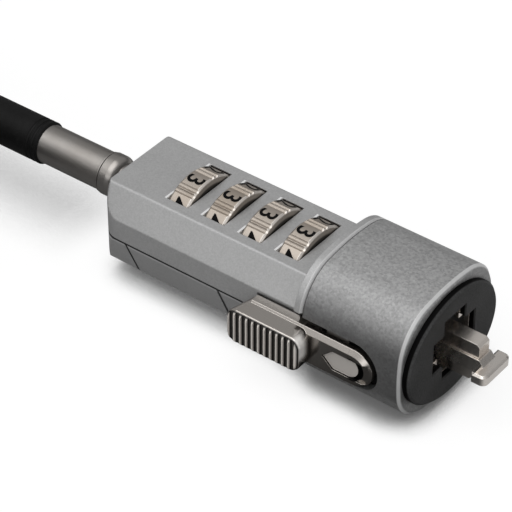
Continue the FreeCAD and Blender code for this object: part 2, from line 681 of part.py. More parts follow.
def make_housing():
    """The upper casting with the collar and spigot, and the lower shell under it."""
    half = [
        ("top_half", "top_z"), ("side_half", "side_z"),
        ("side_half", "parting_z"), ("bottom_half", "bottom_z"),
    ]
    outline = half + [(f"-({across})", up) for across, up in reversed(half)]
    bar = prism("body_bar", "yz", REAR, f"{COLLAR_FRONT} + body_length", outline)
    plan = box("plan_blank", REAR, "-(side_half)", "2 * bottom_z", "2 * body_length", "2 * side_half",
               "4 * top_z")
    rear = -size("body_length")
    plan = ease("Fillet", "plan", plan, size("rear_corner"),
                lambda edge: runs_along(edge, 2) and near(edge.BoundBox.XMin, rear))
    body = meet("body_plan", bar, plan)
    corners = [(size("top_half"), size("top_z")), (size("side_half"), size("side_z")),
               (size("bottom_half"), size("bottom_z"))]

    def long_edge(edge):
        bounds = edge.BoundBox
        return runs_along(edge, 0) and any(
            near(abs(bounds.YMax), across) and near(bounds.ZMax, up) for across, up in corners)

    body = ease("Fillet", "body_eased", body, size("edge_round"), long_edge)
    collar = section("collar_blank", (), COLLAR_BACK, "collar_thick")
    front = -(size("nose_thick") + size("sleeve_length") + size("sleeve_gap"))
    collar = ease("Chamfer", "collar", collar, size("collar_chamfer"), lambda edge: at_x(edge, front))
    back = front - size("collar_thick")
    whole = join("body_and_collar", body, collar)
    side = size("side_half") + 0.01

    def foot_of_collar(edge):
        bounds = edge.BoundBox
        return (at_x(edge, back) and abs(bounds.YMin) < side and abs(bounds.YMax) < side
                and bounds.ZMin > size("bottom_z") - 0.01 and bounds.ZMax < size("top_z") + 0.01)

    whole = ease("Fillet", "body_foot", whole, COLLAR_STEP * size("foot_share"), foot_of_collar)
    spigot = section("spigot", ("sleeve_wall", "seat_clear"), COLLAR_FRONT, "spigot_length")
    under = box("under_parting", f"{REAR} - over", "-2 * side_half", "2 * bottom_z",
                "body_length - shell_front + over", "4 * side_half", "parting_z - 2 * bottom_z")

    wells = []
    for number in range(1, 5):
        start = f"{dial_middle(number)} - window_width / 2"
        wells.append(rod(f"well_{number}", "x", "dial_radius + dial_clear", start, "0", "axis_z",
                         "window_width"))
        wells.append(box(f"window_{number}", start, "-(window_length) / 2", "axis_z", "window_width",
                         "window_length", "2 * top_z"))
    slot = box("side_slot", "-(slot_rear)", "-2 * side_half", "slot_z - slot_half",
               f"slot_rear + {COLLAR_BACK}", "side_half + slot_depth", "slot_top - slot_z + slot_half")
    collar_slot = box("collar_slot", f"{COLLAR_BACK} - collar_thick", "-2 * half_width",
                      "slot_z - slot_half", "3 * collar_thick",
                      "2 * half_width - plate_inner + 3 * slide_clear", "2 * slot_half")
    cavity = box("cavity", CAVITY_BACK, "-2 * half_width", "lower_post_bottom - 4 * slide_clear",
                 f"{COLLAR_FRONT} + spigot_length + over - {CAVITY_BACK}",
                 "2 * half_width + yoke_half + carriage_edge + 4 * slide_clear",
                 "upper_post_top - lower_post_bottom + 8 * slide_clear")
    bore = rod("spindle_way", "x", "spindle_radius + slide_clear", CHAMBER_FRONT, "0", "axis_z",
               f"{CAVITY_BACK} + over - {CHAMBER_FRONT}")
    fins_back = f"({LAST_DIAL} + fin_ahead - fin_thick / 2 - travel - 3 * slide_clear)"
    fin_way = box("fin_way", fins_back, "-(fin_width) / 2 - slide_clear", "axis_z",
                  f"{CAVITY_BACK} + over - {fins_back}", "fin_width + 2 * slide_clear",
                  "fin_height + 2 * slide_clear")
    chamber = rod("stud_chamber", "x", "chamber_radius", CHAMBER_BACK, "0", "axis_z", "chamber_length")
    shank = rod("shank_way", "x", "neck_shank", f"{REAR} - over", "0", "axis_z", "rear_wall + 2 * over")
    foot = box("foot_cut", "-2 * body_length", "-2 * half_width", "-2 * half_height", "3 * body_length",
               "4 * half_width", "half_height + foot_flat")
    upper = cut("upper", whole, under)
    blank = join("upper_and_spigot", upper, spigot)
    hollows = [*wells, slot, collar_slot, cavity, bore, fin_way, chamber, shank, foot, spring_way()]
    piece(cut("housing_solid", blank, *hollows, screws("screw_holes"), sleeve_pins("pin_holes")), "housing")

    lower = meet("lower", body, under)
    ring = cut(
        "groove_ring",
        box("groove_outer", f"{REAR} - over", "-2 * side_half", "parting_z - groove", "body_length",
            "4 * side_half", "2 * groove"),
        ease("Fillet", "groove_core",
             box("groove_blank", f"{REAR} + groove", "-(side_half) + groove", "2 * bottom_z",
                 "2 * body_length", "2 * side_half - 2 * groove", "4 * top_z"),
             size("rear_corner") - size("groove"),
             lambda edge: runs_along(edge, 2) and near(edge.BoundBox.XMin, rear + size("groove"))),
    )
    piece(cut("lower_solid", lower, ring, *wells[::2], slot, chamber, shank, screws("screw_holes_below"),
              cover("cover_seat", "0")), "lower_shell")
    piece(meet("cover_solid", cover("cover_blank", "cover_gap"), lower), "side_cover")
    piece(screws("screws"), "shell_screws")
    piece(sleeve_pins("pins"), "sleeve_pins")


def cover(name, gap):
    """The side cover's space in the lower shell; gap draws it in along its edge."""
    layer = prism(f"{name}_layer", "yz", REAR, "body_length", [
        ("-(side_half) - over", "parting_z"), ("-(side_half) - over", "bottom_z - over"),
        ("-(bottom_half) + cover_thick", "bottom_z - over"), ("-(bottom_half) + cover_thick", "bottom_z"),
        ("-(side_half) + cover_thick", "parting_z"),
    ])
    low = "bottom_z - over"
    face = prism(f"{name}_face", "xz", "0", "2 * side_half", [
        (f"-(cover_rear) + {gap}", f"parting_z - {gap}"), (f"-(cover_rear) + cover_slant + {gap}", low),
        (f"-(cover_front) + cover_slant - {gap}", low), (f"-(cover_front) - {gap}", f"parting_z - {gap}"),
    ])
    return meet(name, layer, face)


def spring_way():
    """The space beside the dials that holds the detent strip."""
    back = f"({LAST_DIAL} - dial_pitch / 2)"
    inner = "dial_radius - spring_back"
    return box("spring_way", back, inner, "axis_z - spring_width / 2 - slide_clear",
               "4 * dial_pitch", f"dial_clear + 3 * spring_back + spring_thick",
               "spring_width + 2 * slide_clear")


def make_spring():
    """The detent strip beside the dials, with a rounded finger that drops into each dial's flutes."""
    back = f"({LAST_DIAL} - dial_pitch / 2 + slide_clear)"
    strip_y = "(dial_radius + dial_clear + 2 * spring_back - seat_clear)"
    parts = [box("spring_strip", back, strip_y, "axis_z - spring_width / 2",
                 "4 * dial_pitch - 2 * slide_clear", "spring_thick", "spring_width")]
    level = "axis_z + dial_radius * sin(dial_rest - flute_turn)"
    for number in range(1, 5):
        start = f"{dial_middle(number)} - finger_width / 2"
        tip = "dial_radius + finger_clear + finger_radius"
        parts.append(rod(f"finger_tip_{number}", "x", "finger_radius", start, tip, level, "finger_width"))
        parts.append(box(f"finger_{number}", start, tip, f"{level} - finger_radius", "finger_width",
                         f"{strip_y} - ({tip})", "2 * finger_radius"))
    piece(join("spring", *parts), "detent_spring")


def screws(name):
    """Four small screws from below: a pair behind the dials and a pair between the last two."""
    solids = []
    for tag, x, y in (
        ("rear", "-(body_length) + screw_inset", "bottom_half - screw_head - screw_edge"),
        ("front", "-(first_dial) - dial_pitch / 2", "bottom_half - screw_head - screw_edge_front"),
    ):
        for side in ("", "-"):
            spot = f"{side}({y})"
            shank = rod(f"{name}_{tag}{side}_shank", "z", "screw_radius", x, spot, "bottom_z", "screw_length")
            head = rod(f"{name}_{tag}{side}_head", "z", "screw_head", x, spot, "bottom_z", "screw_head_depth")
            solid = join(f"{name}_{tag}{side}", shank, head)
            if name == "screws":
                recess = box(f"{name}_{tag}{side}_slot", f"{x} - screw_head", f"{spot} - screw_slot / 2",
                             "bottom_z - over", "2 * screw_head", "screw_slot",
                             "over + screw_head_depth / 2")
                solid = cut(f"{name}_{tag}{side}_slotted", solid, recess)
            solids.append(solid)
    return join(name, *solids)


def sleeve_pins(name):
    """Two pins driven up through the sleeve into the spigot."""
    x = f"{COLLAR_FRONT} + spigot_length / 2"
    return join(name, *[
        rod(f"{name}_{tag}", "z", "sleeve_pin_radius", x, y, "foot_flat + sleeve_pin_sink - half_height",
            "sleeve_pin_length")
        for tag, y in (("far", "half_width / 2"), ("near", "-(half_width) / 2"))
    ])


def make_sleeve():
    """The front sleeve: an oval seat for the nose, and the slider's slot, open to the rear."""
    blank = section("sleeve_blank", (), SLEEVE_BACK, "sleeve_length")
    front = -size("nose_thick")
    eased = ease("Chamfer", "sleeve_eased", blank, size("sleeve_chamfer"), lambda edge: at_x(edge, front))
    bore = section("sleeve_bore", ("sleeve_wall",), f"{SLEEVE_BACK} - over",
                   "sleeve_length - plate_thick + over")
    seat = oval("sleeve_seat", "plate_y + seat_clear", "plate_z + seat_clear", f"{PLATE_BACK} - over",
                "plate_thick + 2 * over")
    round_x = "(-(slot_front) - slot_half)"
    slot = box("sleeve_slot", f"{SLEEVE_BACK} - over", "-2 * half_width", "slot_z - slot_half",
               f"sleeve_length + nose_thick + over + {round_x}", "1.5 * half_width", "2 * slot_half")
    slot_end = rod("sleeve_slot_end", "y", "slot_half", round_x, "-2 * half_width", "slot_z",
                   "1.5 * half_width")
    foot = box("sleeve_foot", "-2 * sleeve_length", "-2 * half_width", "-2 * half_height",
               "3 * sleeve_length", "4 * half_width", "half_height + foot_flat")
    pin_holes = sleeve_pins("sleeve_pin_holes")
    piece(cut("sleeve", eased, bore, seat, slot, slot_end, foot, pin_holes), "front_sleeve")


def make_swivel():
    """The neck bush in the housing's rear wall, and the headed stud that turns in it."""
    start = f"({REAR} - neck_gap - neck_length)"
    barrel = rod("neck_barrel", "x", "neck_radius", start, "0", "axis_z", "neck_length")
    front = -(size("body_length") + size("neck_gap"))
    barrel = ease("Fillet", "neck_dome", barrel, size("neck_round"), lambda edge: at_x(edge, front))
    shank = rod("neck_shank_rod", "x", "neck_shank", f"{REAR} - neck_gap - over", "0", "axis_z",
                "neck_gap + rear_wall + over")
    flange = rod("neck_flange_disc", "x", "neck_flange", CHAMBER_BACK, "0", "axis_z", "neck_flange_thick")
    bore = rod("neck_bore", "x", "stud_radius + turn_clear", f"{start} - over", "0", "axis_z",
               "neck_length + neck_gap + 2 * rear_wall + 2 * over")
    piece(cut("neck", join("neck_blank", barrel, shank, flange), bore), "neck_bush")

    head_x = f"({CHAMBER_BACK} + neck_flange_thick + turn_clear)"
    head = rod("stud_head_disc", "x", "stud_head", head_x, "0", "axis_z", "stud_head_thick")
    stem = rod("stud_stem", "x", "stud_radius", CABLE_END, "0", "axis_z", f"{head_x} - {CABLE_END}")
    piece(join("stud", head, stem), "swivel_stud")

    back = f"({FERRULE_FRONT} - ferrule_length)"
    tube = rod("ferrule_tube", "x", "ferrule_radius", back, "0", "axis_z", "ferrule_length")
    rim = rod("ferrule_lip", "x", "ferrule_radius + ferrule_rim", f"{FERRULE_FRONT} - 2 * ferrule_rim", "0",
              "axis_z", "2 * ferrule_rim")
    hole = rod("ferrule_hole", "x", "stud_radius", f"{CABLE_END} - over", "0", "axis_z",
               "ferrule_wall + 2 * over")
    socket = rod("ferrule_socket", "x", "cable_radius", f"{back} - over", "0", "axis_z",
                 f"{CABLE_END} - {back} + over")
    piece(cut("ferrule", join("ferrule_blank", tube, rim), hole, socket), "cable_ferrule")

    body = rod("boot_tube", "x", "boot_radius", BOOT_BACK, "0", "axis_z", "boot_length")
    boot_front = -(size("body_length") + size("boot_start"))
    boot_back = boot_front - size("boot_length")
    body = ease("Chamfer", "boot_edge_off", body, size("boot_edge"),
                lambda edge: at_x(edge, boot_front) or at_x(edge, boot_back))
    rings = []
    for index in (1, 2):
        x = f"{BOOT_FRONT} - boot_taper * {index}"
        rings.append(ring(f"boot_ring_{index}", x, "boot_radius + ring_radius / 2", "ring_radius"))
    over = rod("boot_over", "x", "ferrule_radius", back, "0", "axis_z", "ferrule_length")
    through = rod("boot_through", "x", "cable_radius", f"{BOOT_BACK} - over", "0", "axis_z",
                  "boot_length + 2 * over")
    piece(cut("boot", body, *rings, over, through), "cable_boot")
    inner = rod("inner", "x", "cable_radius", BOOT_BACK, "0", "axis_z", f"{CABLE_END} - {BOOT_BACK}")
    piece(inner, "cable_inner")


def ring(name, x, radius, thick):
    solid = doc.addObject("Part::Torus", name)
    solid.setExpression("Radius1", bound(radius))
    solid.setExpression("Radius2", bound(thick))
    return place(solid, ALONG["x"], x, "0", "axis_z")


# The cable's free run. Every bend is an arc that leaves its straights squarely.
BEND_SHARE = 0.48
TOUCH = 0.01
STRAIGHT = 1e-9


def arc(start, heading, end):
    """The arc that leaves start along heading and ends at end, and its heading there."""
    chord = end - start
    out = Vector(heading).normalize()
    side = chord - out * chord.dot(out)
    if side.Length < STRAIGHT:
        return Part.LineSegment(start, end).toShape(), out
    side.normalize()
    turn = math.atan2(chord.dot(side), chord.dot(out))
    radius = chord.Length / (2 * math.sin(turn))
    middle = start + side * (radius * (1 - math.cos(turn))) + out * (radius * math.sin(turn))
    last = out * math.cos(2 * turn) + side * math.sin(2 * turn)
    return Part.Arc(start, middle, end).toShape(), last


def biarc(start, heading, end, last):
    """Two arcs that join start to end and leave both along the given headings."""
    chord = end - start
    both = heading + last
    spare = 2 * (1 - heading.dot(last))
    along = chord.dot(both)
    reach = (math.sqrt(along * along + spare * chord.dot(chord)) - along) / spare
    middle = (start + heading * reach + end - last * reach) * 0.5
    first, turned = arc(start, heading, middle)
    second, _ = arc(middle, turned, end)
    return [first, second]


def rounded_route(points):
    """Straight runs joined by tangent arcs; each takes its share of the middle runs."""
    edges = []
    radii = []
    here = points[0]
    spare = [BEND_SHARE * (after - before).Length for before, after in zip(points, points[1:])]
    spare[0] *= 2
    spare[-1] *= 2
    for index, (before, corner, after) in enumerate(zip(points, points[1:], points[2:])):
        into, away = corner - before, after - corner
        turn = into.getAngle(away)
        reach = min(spare[index], spare[index + 1])
        radii.append(reach / math.tan(turn / 2))
        arc_start = corner - Vector(into).normalize() * reach
        arc_end = corner + Vector(away).normalize() * reach
        edges.append(Part.LineSegment(here, arc_start).toShape())
        edges.append(arc(arc_start, into, arc_end)[0])
        here = arc_end
    edges.append(Part.LineSegment(here, points[-1]).toShape())
    return edges, radii


def tube(name, edges, radius):
    """A round tube swept along the edges, checked against its section times its length."""
    spine = Part.Wire(edges)
    start = spine.Edges[0]
    heading = start.tangentAt(start.FirstParameter)
    section_wire = Part.Wire([Part.Circle(start.valueAt(start.FirstParameter), heading, radius).toShape()])
    shell = Part.BRepOffsetAPI.MakePipeShell(spine)
    shell.add(section_wire)
    shell.build()
    shell.makeSolid()
    solid = shell.shape()
    expected = math.pi * radius * radius * spine.Length
    if abs(solid.Volume - expected) > TOUCH * expected:
        raise ValueError(f"{name}: the tube's volume is {solid.Volume:.1f}, not {expected:.1f}")
    feature = doc.addObject("Part::Feature", name)
    feature.Shape = solid
    return piece(feature, name), spine


def coil_edges(here):
    """The coil, in half turns: layers in and out by turns, then over the top and back across it.

    Every half turn is drawn in or let out by half a pitch, so that each full turn lies one
    pitch inside the last, and a half turn that climbs joins each layer to the next.
    """
    outer = size("coil_radius")
    pitch = size("turn_pitch")
    halves = int(size("coil_halves"))
    layers = int(size("coil_layers"))
    step = pitch / 2
    radii = []
    for layer in range(layers):
        rings = [(outer - step * index, 0) for index in range(halves)]
        if layer % 2:
            rings.reverse()
        radii += rings
        radii.append((outer + step if layer % 2 else outer - step * halves, pitch))
    heading = Vector(-1, 0, 0)
    edges = []
    for radius, climb in radii[:-2]:
        across = Vector(-heading.y, heading.x, 0)
        there = here + across * (2 * radius) + Vector(0, 0, climb)
        edges += biarc(here, heading, there, -heading)
        here, heading = there, -heading
    for radius, climb in ((outer, size("end_rise")), (size("turn_in"), 0)):
        across = Vector(-heading.y, heading.x, 0)
        there = here + (heading + across) * radius + Vector(0, 0, climb)
        edges += biarc(here, heading, there, across)
        here, heading = there, across
    return edges, here, heading


def least_gap(spine, diameter):
    """How near a wound tube comes to itself, on points along its middle."""
    step = 0.3 * diameter
    points = spine.discretize(Distance=step)
    skip = int(2 * diameter / step) + 1
    nearest = min(
        points[one].distanceToPoint(points[other])
        for one in range(0, len(points), 2) for other in range(one + skip, len(points), 2)
    )
    return nearest - diameter


def make_cable():
    """The cable from the boot: a lead down to the table, the coil and the looped end."""
    radius = size("cable_radius")
    level = size("axis_z")
    floor = size("foot_flat") - size("half_height") + radius
    out = -(size("body_length") + size("boot_start") + size("boot_length"))
    coil_start = Vector(size("coil_x"), size("coil_y"), floor)
    route = [
        Vector(out, 0, level),
        Vector(out - size("lead_level"), 0, level),
        coil_start + Vector(size("lead_landed"), 0, 0),
        coil_start,
    ]
    edges, radii = rounded_route(route)
    print("lead bend radii", [round(value, 1) for value in radii])
    _, lead = tube("cable_lead", edges, radius)

    edges, end, heading = coil_edges(coil_start)
    _, coil = tube("cable_coil", edges, radius)
    print("coil gap to itself", round(least_gap(coil, 2 * radius), 3))
    apart = min(point.distanceToPoint(other) for point in lead.discretize(40)[:30]
                for other in coil.discretize(Distance=radius))
    print("lead gap to coil", round(apart - 2 * radius, 3))

    gap = 2 * radius + size("strand_gap")
    aside = Vector(-heading.y, heading.x, 0)
    length = size("crimp_length")
    start = end + heading * length
    flare, eye = size("eye_flare"), size("eye_radius")
    lean = math.acos((gap / 2 + flare) / (flare + eye))
    straight = start + heading * (2 * radius)
    bulge = straight - aside * (flare * (1 - math.cos(lean))) + heading * (flare * math.sin(lean))
    middle = straight + aside * (gap / 2) + heading * ((flare + eye) * math.sin(lean))
    top = middle + heading * eye
    mirrored = [point + aside * (2 * (middle - point).dot(aside)) for point in (bulge, straight, start)]
    one, turned = arc(straight, heading, bulge)
    two, turned = arc(bulge, turned, top)
    three, turned = arc(top, turned, mirrored[0])
    four, turned = arc(mirrored[0], turned, mirrored[1])
    back = mirrored[2] - heading * (length - size("strand_short"))
    _, loop = tube("cable_eye", [
        Part.LineSegment(start, straight).toShape(), one, two, three, four,
        Part.LineSegment(mirrored[1], back).toShape(),
    ], radius)

    wall = size("crimp_wall")
    half = gap / 2
    crimp_edges = []
    centre = end + aside * half
    for sign in (1, -1):
        rim = centre + aside * (sign * half)
        out_point = rim + aside * (sign * (radius + wall))
        up = Vector(0, 0, radius + wall)
        crimp_edges.append(Part.Arc(rim - up * sign, out_point, rim + up * sign).toShape())
    for up in (Vector(0, 0, radius + wall), Vector(0, 0, -radius - wall)):
        flat = Part.LineSegment(centre + aside * half + up, centre - aside * half + up)
        crimp_edges.append(flat.toShape())
    block = Part.Face(Part.Wire(Part.__sortEdges__(crimp_edges))).extrude(heading * length)
    bore = Part.makeCylinder(radius, length, back, heading)
    feature = doc.addObject("Part::Feature", "eye_crimp")
    feature.Shape = block.cut(bore)
    piece(feature, "eye_crimp")
    inside = size("boot_start") + size("boot_length") - size("ferrule_wall") - size("swivel_gap") \
        - size("neck_length") - size("neck_gap")
    total = inside + lead.Length + coil.Length + length + loop.Length
    print("cable length", round(total, 1))


make_nose()
make_fork()
make_spindle()
for dial in range(1, 5):
    make_dial(dial)
    make_hub(dial)
make_spring()
make_slider()
make_sleeve()
make_housing()
make_swivel()
make_cable()

doc.recompute()
broken = [item.Label for item in doc.Objects if "Invalid" in item.State or "Error" in item.State]
if broken:
    raise ValueError(f"these did not build: {broken}")
for solid in PIECES:
    if solid.Shape.isNull() or not solid.Shape.isValid() or not solid.Shape.Solids:
        raise ValueError(f"{solid.Label}: no valid solid")
os.makedirs("parts", exist_ok=True)
for solid in PIECES:
    solid.Shape.exportStep(f"parts/{solid.Label}.step")
print(len(PIECES), "pieces")
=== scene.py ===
"""Laptop cable lock: the finishes, the numerals, the cable's own line and the studio round it.

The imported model's frame: +X towards the hook's tip, +Y away from the thumb slider, +Z up,
and the origin at the centre of the nose's front face. Lengths here are in millimetres, as
in the part, and MM turns them to metres; the camera, lamp and table are in metres.
"""
import math

import bmesh
import bpy
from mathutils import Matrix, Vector


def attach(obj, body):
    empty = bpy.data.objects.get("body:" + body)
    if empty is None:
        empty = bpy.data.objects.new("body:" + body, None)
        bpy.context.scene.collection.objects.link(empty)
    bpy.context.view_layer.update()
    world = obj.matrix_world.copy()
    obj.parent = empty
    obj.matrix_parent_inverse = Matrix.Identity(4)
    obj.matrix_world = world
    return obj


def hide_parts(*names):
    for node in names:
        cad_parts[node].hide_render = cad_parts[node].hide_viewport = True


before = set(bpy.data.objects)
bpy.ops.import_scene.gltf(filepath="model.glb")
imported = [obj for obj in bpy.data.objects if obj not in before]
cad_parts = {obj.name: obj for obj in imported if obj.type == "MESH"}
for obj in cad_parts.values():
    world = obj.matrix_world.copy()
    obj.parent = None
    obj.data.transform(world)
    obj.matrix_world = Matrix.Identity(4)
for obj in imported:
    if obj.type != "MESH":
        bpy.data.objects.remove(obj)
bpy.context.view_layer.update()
MM = 0.001

# Camera: the photograph's viewpoint, with a long lens
CAMERA_AT = (0.1320, -0.2133, 0.2161)
CAMERA_TARGET = (-0.0310, -0.0022, 0.0008)


def pointed_at(target, place):
    """The turn that points a camera or lamp at its target."""
    return (Vector(target) - Vector(place)).to_track_quat("-Z", "Y")


camera = bpy.data.objects.new("camera", bpy.data.cameras.new("camera"))
camera.location = CAMERA_AT
camera.rotation_mode = "QUATERNION"
camera.rotation_quaternion = pointed_at(CAMERA_TARGET, CAMERA_AT)
camera.data.lens = 177.2
camera.data.sensor_width = 36.0
camera.data.clip_start = 0.01
bpy.context.collection.objects.link(camera)
bpy.context.scene.camera = camera
bpy.context.scene.view_settings.view_transform = "Standard"

# The cable: out of the ferrule, down to the table, round the coil, through the crimp, round
# the eye and back into the crimp
CABLE_RADIUS = 2.5
AXIS_Z = 0.85
TABLE_Z = -9.2
FLOOR_LEVEL = TABLE_Z + CABLE_RADIUS
CABLE_START = -64.0
FERRULE_INSIDE = -76.0
BOOT_END = -81.9
STRAIGHT_ON = 8.7
COIL_X = -120.2
COIL_Y = 2.9
LANDS_BEFORE = 17.2
RUNS_IN = 4.2
COIL_RADIUS = 30.0
COIL_HALVES = 4
COIL_LAYERS = 4
TURN_PITCH = 5.3
END_RISE = 5.9
TURN_IN = 20.0
POINTS_A_HALF = 8

# The crimp and the eye on top of the coil
CRIMP_LENGTH = 14.0
CRIMP_CORE = 2.0
STRANDS_APART = 6.0
STRAIGHT_OUT = 5.5
EYE_MIDDLE = 26.2
EYE_RADIUS = 14.0
EYE_POINTS = 12
EYE_STEP = 360 / EYE_POINTS


def turned(vector):
    """A quarter turn to the left, seen from above."""
    return Vector((-vector.y, vector.x, 0))


def bend(here, heading, radius, climb, share=1.0):
    """Points round half a turn or a share of it, set out so that lines between them touch it."""
    centre = here + turned(heading) * radius
    count = round(POINTS_A_HALF * share)
    step = math.pi * share / count
    out = radius / math.cos(step / 2)
    points = []
    for index in range(count):
        angle = step * (index + 0.5)
        round_it = heading * math.sin(angle) - turned(heading) * math.cos(angle)
        risen = climb * (1 - math.cos(angle / share)) / 2
        points.append(centre + round_it * out + Vector((0, 0, risen)))
    return points


def coil_turns():
    """Radius and climb of each half turn: layers that wind inwards and outwards by turns."""
    step_in = TURN_PITCH / 2
    turns = []
    for layer in range(COIL_LAYERS):
        rings = [(COIL_RADIUS - step_in * index, 0) for index in range(COIL_HALVES)]
        outwards = layer % 2
        turns += reversed(rings) if outwards else rings
        last = COIL_RADIUS + step_in if outwards else COIL_RADIUS - step_in * COIL_HALVES
        turns.append((last, TURN_PITCH))
    return turns[:-2]


def eye_points(here, heading):
    """Through the crimp, round the eye and back into the crimp beside itself."""
    aside = turned(heading)
    mouth = here + heading * CRIMP_LENGTH
    middle = mouth + aside * (STRANDS_APART / 2) + heading * EYE_MIDDLE
    points = [here + heading * CRIMP_CORE, mouth, mouth + heading * STRAIGHT_OUT]
    out = EYE_RADIUS / math.cos(math.radians(EYE_STEP / 2))
    for index in range(1, EYE_POINTS - 2):
        angle = math.radians(-180 + EYE_STEP / 2 + EYE_STEP * index)
        points.append(middle + heading * (math.cos(angle) * out) + aside * (math.sin(angle) * out))
    beside = aside * STRANDS_APART
    return points + [mouth + beside + heading * STRAIGHT_OUT, mouth + beside,
                     here + beside + heading * CRIMP_CORE]


def cable_route():
    """The points that the cable's line is drawn by."""
    here = Vector((COIL_X, COIL_Y, FLOOR_LEVEL))
    heading = Vector((-1, 0, 0))
    route = [Vector((along, 0, AXIS_Z))
             for along in (CABLE_START, FERRULE_INSIDE, BOOT_END - STRAIGHT_ON)]
    route += [here + Vector((LANDS_BEFORE, 0, 0)), here + Vector((RUNS_IN, 0, 0))]
    for radius, climb in coil_turns():
        route += bend(here, heading, radius, climb)
        here = here + turned(heading) * (2 * radius) + Vector((0, 0, climb))
        heading = -heading
    for radius, climb in ((COIL_RADIUS, END_RISE), (TURN_IN, 0)):
        route += bend(here, heading, radius, climb, 0.5)
        here = here + (heading + turned(heading)) * radius + Vector((0, 0, climb))
        heading = turned(heading)
    return route + eye_points(here, heading)


route = cable_route()
line = bpy.data.curves.new("cable", "CURVE")
line.dimensions = "3D"
line.bevel_depth = 1.0
line.bevel_resolution = 8
line.use_fill_caps = True
line.resolution_u = 5
spline = line.splines.new("NURBS")
spline.points.add(len(route) - 1)
for point, place in zip(spline.points, route):
    point.co = (*(place * MM), 1)
    point.radius = CABLE_RADIUS * MM
spline.order_u = 3
spline.use_endpoint_u = True
cable = bpy.data.objects.new("cable", line)
bpy.context.collection.objects.link(cable)
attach(cable, "cable")
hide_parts("cable_inner", "cable_lead", "cable_coil", "cable_eye")


class Wire:
    """An output of a shader node. Sums and products on it add their maths nodes."""

    def __init__(self, nodes, socket):
        self.nodes = nodes
        self.socket = socket

    def maths(self, operation, *values, clamp=False):
        """A maths node that takes this wire first."""
        settings = {"operation": operation, "use_clamp": clamp}
        return self.nodes.node("ShaderNodeMath", settings, self, *values)

    def __add__(self, other):
        return self.maths("ADD", other)

    def __sub__(self, other):
        return self.maths("SUBTRACT", other)

    def __mul__(self, other):
        return self.maths("MULTIPLY", other)

    def __rsub__(self, other):
        return self.maths("MULTIPLY_ADD", -1.0, other)

    __radd__ = __add__
    __rmul__ = __mul__

    def clamped(self):
        """Held between 0 and 1."""
        return self.maths("ADD", 0.0, clamp=True)

    def rise(self, low, high):
        """0 below low, 1 above high and smooth between them."""
        settings = {"interpolation_type": "SMOOTHSTEP"}
        return self.nodes.node("ShaderNodeMapRange", settings, self, low, high)

    def fall(self, low, high):
        """1 below low, 0 above high and smooth between them."""
        return 1.0 - self.rise(low, high)

    def near(self, value, inner=0.09, outer=0.3):
        """1 within the inner distance of a value, and 0 beyond the outer one."""
        return (self - value).maths("ABSOLUTE").fall(inner, outer)


class Nodes:
    """A shader's node tree, to add nodes to."""

    # the sockets of a colour mix: its factor, its two colours and its result
    FACTOR, FIRST, SECOND, RESULT = 0, 6, 7, 2

    def __init__(self, tree):
        self.tree = tree

    def feed(self, socket, value):
        """A wire or a plain value into a socket; None leaves it as it is."""
        if isinstance(value, Wire):
            self.tree.links.new(value.socket, socket)
        elif value is not None:
            socket.default_value = value

    def node(self, kind, settings, *values, output=0, **named):
        """A new node with its settings, and its inputs by order or by name."""
        made = self.tree.nodes.new(kind)
        for setting, value in settings.items():
            setattr(made, setting, value)
        for index, value in enumerate(values):
            self.feed(made.inputs[index], value)
        for name, value in named.items():
            self.feed(made.inputs[name.replace("_", " ")], value)
        return Wire(self, made.outputs[output])

    def mix(self, factor, first, second, blend="MIX"):
        """Two colours by a factor."""
        made = self.tree.nodes.new("ShaderNodeMix")
        made.data_type = "RGBA"
        made.blend_type = blend
        self.feed(made.inputs[self.FACTOR], factor)
        self.feed(made.inputs[self.FIRST], first)
        self.feed(made.inputs[self.SECOND], second)
        return Wire(self, made.outputs[self.RESULT])

    def split(self, vector):
        """The three parts of a vector, each as a wire."""
        outputs = self.node("ShaderNodeSeparateXYZ", {}, vector).socket.node.outputs
        return [Wire(self, outputs[index]) for index in range(3)]

    def rays(self, *kinds):
        """1 for a ray of one of these kinds, and 0 for any other."""
        outputs = self.node("ShaderNodeLightPath", {}).socket.node.outputs
        return sum(Wire(self, outputs[f"Is {kind} Ray"]) for kind in kinds).clamped()


